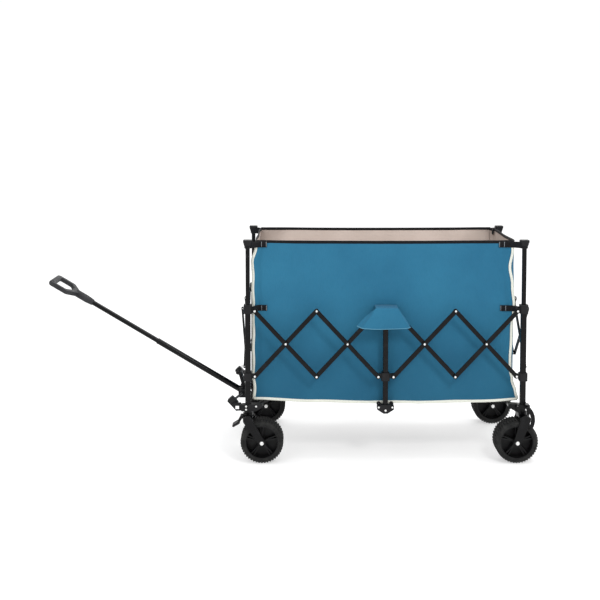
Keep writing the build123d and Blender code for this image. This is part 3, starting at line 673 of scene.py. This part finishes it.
def centre_flap(name, side):
    """The fabric apron sewn to the side wall that passes over the centre bracket and hangs in front."""
    bend_z, bend_at = 0.6835, 0.30
    stand = RIVET_OUT + 0.006

    def at(v, u, inset):
        """v runs from the seam over the bracket to the hem, u from front to rear."""
        seam_z = 0.6865 + 0.001 * math.sin(math.pi * u) ** 0.7
        fall = max(0.0, (v - bend_at + 0.04) / (1.04 - bend_at)) ** 1.1
        rise = min(1.0, v / bend_at)
        top_x = -0.046 + 0.097 * u
        low_x = -0.127 + 0.233 * u
        hem_z = 0.6045 - 0.003 * u - 0.009 * math.sin(math.pi * u ** 0.7) ** 0.6
        x = top_x + (low_x - top_x) * fall ** 0.9
        z = seam_z + (bend_z - seam_z) * rise ** 1.5 + (hem_z - bend_z) * fall - inset * (v < bend_at)
        wall = side_depth(side, x, z) + 0.0015
        fold = 0.0016 * (1 + math.sin(11 * u + 4 * v)) * fall
        fold += 0.0012 * (1 + rough(x, z, side, 0.04, 9.0)) * fall
        turned = blur(0.11 - u, 0.0, 0.11) * blur(fall, 0.05, 0.45)
        turned += 0.4 * blur(u, 0.95, 1.0) * blur(fall, 0.1, 0.5)
        out = wall + (stand - wall) * math.sin(math.pi / 2 * rise) + fold - 0.026 * turned
        return Vector((x, side * (out + 0.003 * fall - inset * (v >= bend_at)), z))

    flap = two_sided(
        f"centre_flap_{name}", 40, 60,
        lambda v, u: at(v, u, 0.0), lambda v, u: at(v, u, FLAP_THICK), BLUE, BLUE,
    )
    if side < 0:
        flap.data.flip_normals()
    soft_piece(flap, "centre_frame")
    hem = [at(1.0, k / 59, 0.0009) for k in range(60)]
    band = strip(
        f"flap_hem_{name}", hem, FLAP_HEM_SIZE, BLUE_LIGHT, lambda k: (0, side, 0), PIPING_ROUND,
    )
    soft_piece(band, "centre_frame")


def floor_pad(label, half):
    """One hinged section of the quilted floor mat."""
    low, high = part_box(f"{label}_floor_pad_{half}")
    rows, cols = 61, 45
    channels_x, channels_y = 3, 6

    def groove(t, count):
        near = abs(t * count - round(t * count)) / count
        return math.exp(-((near * count) / 0.10) ** 2)

    def at(v, u, top):
        x = low.x + 0.002 + (high.x - low.x - 0.004) * u
        y = low.y + 0.002 + (high.y - low.y - 0.004) * v
        edge = min(u, 1 - u) * (high.x - low.x)
        edge_y = min(v, 1 - v) * (high.y - low.y)
        round_off = blur(min(edge, edge_y), 0.0, 0.014)
        thick = high.z - low.z
        quilt = max(groove(u, channels_x), groove(v, channels_y))
        lift = (thick * 0.5) * round_off * (1 - 0.35 * quilt) + 0.0002
        ripple = 0.0006 * rough(x, y, 0.0, 0.05, 11.0)
        mid = (low.z + high.z) / 2
        if top:
            return Vector((x, y, mid + lift + ripple * round_off))
        return Vector((x, y, mid - lift * 0.8))

    pad = two_sided(
        f"floor_mat_{label}_{half}", rows, cols,
        lambda v, u: at(v, u, True), lambda v, u: at(v, u, False), PAD_CLOTH, PAD_UNDER,
    )
    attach(pad, f"{label}_base_{half}")
    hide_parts(f"{label}_floor_pad_{half}")


# ---------------------------------------------------------------- wheels

def tyre(label, end, side_name):
    """A foam tyre with two staggered rows of blocks and ringed sidewalls."""
    node = f"{end}_tyre_{side_name}"
    low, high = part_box(node)
    hub = (low + high) / 2
    radius = (high.z - low.z) / 2
    half = (high.y - low.y) / 2
    bore = RIM_RADIUS + 0.0002
    wall = (radius - bore) / 0.021
    steps = (
        (0.0, 0.94), (0.0022, 0.97), (0.0048, 0.985), (0.0058, 0.960), (0.0076, 0.960), (0.0086, 0.982),
        (0.0125, 0.955), (0.0152, 0.90), (0.0168, 0.83),
    )
    profile = [(bore + rise * wall, share) for rise, share in steps]
    tread = [(0.80, 1), (0.66, 1), (0.50, 1), (0.34, 1), (0.18, 1), (0.13, 1), (0.10, 0)]
    beats = (0.0, 0.44, 0.50, 0.94)

    def ring(beat):
        """Radius and offset of each profile point at one tooth position, from one face to the other."""
        made = []
        for sign in (-1, 1):
            row_up = (beat < 2) if sign < 0 else (beat >= 2)
            face = [(r, sign * w * half) for r, w in profile]
            for w, block in tread:
                up = block and row_up
                r = radius if up else radius - TREAD_DEEP * (1 if block else 0.45)
                face.append((r - 0.0006 * (w - 0.5) ** 2 * 4, sign * w * half))
            made.append(face)
        return made[0] + made[1][::-1]

    verts, count = [], 0
    for lug in range(LUGS):
        for beat, share in enumerate(beats):
            angle = 2 * math.pi * (lug + share) / LUGS - math.pi / LUGS * 0.44
            section = ring(beat)
            count = len(section)
            for r, w in section:
                verts.append((hub.x + r * math.sin(angle), hub.y + w, hub.z - r * math.cos(angle)))
    turns = LUGS * len(beats)
    faces = []
    for t in range(turns):
        a, b = t * count, ((t + 1) % turns) * count
        faces += [(a + i, a + (i + 1) % count, b + (i + 1) % count, b + i) for i in range(count)]
    obj = new_mesh(f"ribbed_{node}", verts, faces, [RUBBER])
    for face in obj.data.polygons:
        face.use_smooth = False
    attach(obj, label)
    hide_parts(node)


# ---------------------------------------------------------------- fittings

def dome(name, centre, out, radius, body):
    """A small domed pin head with a rounded foot and a shallow struck dimple."""
    centre = Vector(centre)
    out = Vector(out).normalized()
    side = out.orthogonal().normalized()
    other = out.cross(side)
    outline = [
        (1.0, 0.0), (1.0, 0.14), (0.93, 0.30), (0.76, 0.43),
        (0.5, 0.52), (0.3, 0.54), (0.2, 0.47), (0.0, 0.45),
    ]
    turns = 24
    verts = []
    for r, h in outline[:-1]:
        for t in range(turns):
            a = 2 * math.pi * t / turns
            spoke = side * math.cos(a) + other * math.sin(a)
            verts.append(centre + spoke * r * radius + out * h * radius)
    faces = []
    for k in range(len(outline) - 2):
        for t in range(turns):
            a, b = k * turns + t, k * turns + (t + 1) % turns
            faces.append((a, b, b + turns, a + turns))
    verts.append(centre + out * outline[-1][1] * radius)
    last = (len(outline) - 2) * turns
    faces += [(last + t, last + (t + 1) % turns, len(verts) - 1) for t in range(turns)]
    faces.append(tuple(range(turns))[::-1])
    obj = new_mesh(name, verts, faces, [ZINC])
    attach(obj, body)


def slider_pins():
    """Bright heads over the centre sliders' moulded pins."""
    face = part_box("centre_sliders")[1].y - 0.0022
    arm_low, arm_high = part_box("front_inner_arm_rising")
    pin_x, pin_z = abs(arm_high.x - ARM_END), arm_low.z + ARM_END
    for name, side in SIDES.items():
        for end, sign in ENDS.items():
            centre = (sign * pin_x, side * face, pin_z)
            dome(f"slider_pin_{end}_{name}", centre, (0, side, 0), PIN_HEAD_R, "centre_slider")


# ---------------------------------------------------------------- stage

def studio():
    """A glowing white floor, a white world and four soft lights."""
    corners = [(-14, -9, -0.0005), (14, -9, -0.0005), (14, 16, -0.0005), (-14, 16, -0.0005)]
    floor = new_mesh("studio_floor", corners, [(0, 1, 2, 3)], [floor_material()])
    world = bpy.data.worlds.new("soft_white")
    world.use_nodes = True
    world.node_tree.nodes["Background"].inputs[0].default_value = (1, 1, 1, 1)
    world.node_tree.nodes["Background"].inputs[1].default_value = 1.02
    bpy.context.scene.world = world
    lights = (
        ("key", (1.3, -3.2, 3.2), (0, 0, 0.5), 0.8, 52),
        ("fill", (-2.8, -3.6, 2.8), (0, 0, 0.5), 2.2, 18),
        ("top", (0.3, 0.2, 3.6), (0, 0, 0.3), 1.6, 46),
        ("back", (0.5, 4.0, 3.0), (0, 0, 0.5), 3.0, 30),
    )
    for name, place, target, size, power in lights:
        data = bpy.data.lights.new(name, "AREA")
        data.size = size
        data.energy = power
        lamp = bpy.data.objects.new(name, data)
        lamp.location = place
        lamp.rotation_euler = (Vector(target) - Vector(place)).to_track_quat("-Z", "Y").to_euler()
        bpy.context.scene.collection.objects.link(lamp)


def camera():
    """The one camera, on the wagon's left."""
    data = bpy.data.cameras.new("photo_view")
    data.lens = CAMERA_LENS
    data.sensor_width = 36.0
    data.shift_y = CAMERA_SHIFT
    data.clip_end = 60
    cam = bpy.data.objects.new("photo_view", data)
    cam.location = CAMERA_AT
    cam.rotation_euler = (math.radians(90 - CAMERA_TIP), 0, 0)
    bpy.context.scene.collection.objects.link(cam)
    bpy.context.scene.camera = cam


bpy.context.scene.view_settings.view_transform = "Standard"
camera()
studio()
dress_cad()
for side_label, side_sign in SIDES.items():
    side_wall(side_label, side_sign)
    side_trim(side_label, side_sign)
    centre_flap(side_label, side_sign)
for end_label, end_sign in ENDS.items():
    end_wall(end_label, end_sign)
    end_trim(end_label, end_sign)
    for side_label, side_sign in SIDES.items():
        corner = (end_label, end_sign, side_label, side_sign)
        strap_band(*corner, "top", TOP_TIE, TOP_REACH[end_label])
        strap_band(*corner, "middle", MIDDLE_TIE, MIDDLE_REACH)
        end_strap(*corner, "top", TOP_END_TIE)
    for part in ("outer", "inner"):
        floor_pad(end_label, part)
    for side_label in SIDES:
        tyre(f"{end_label}_wheel_{side_label}", end_label, side_label)
slider_pins()
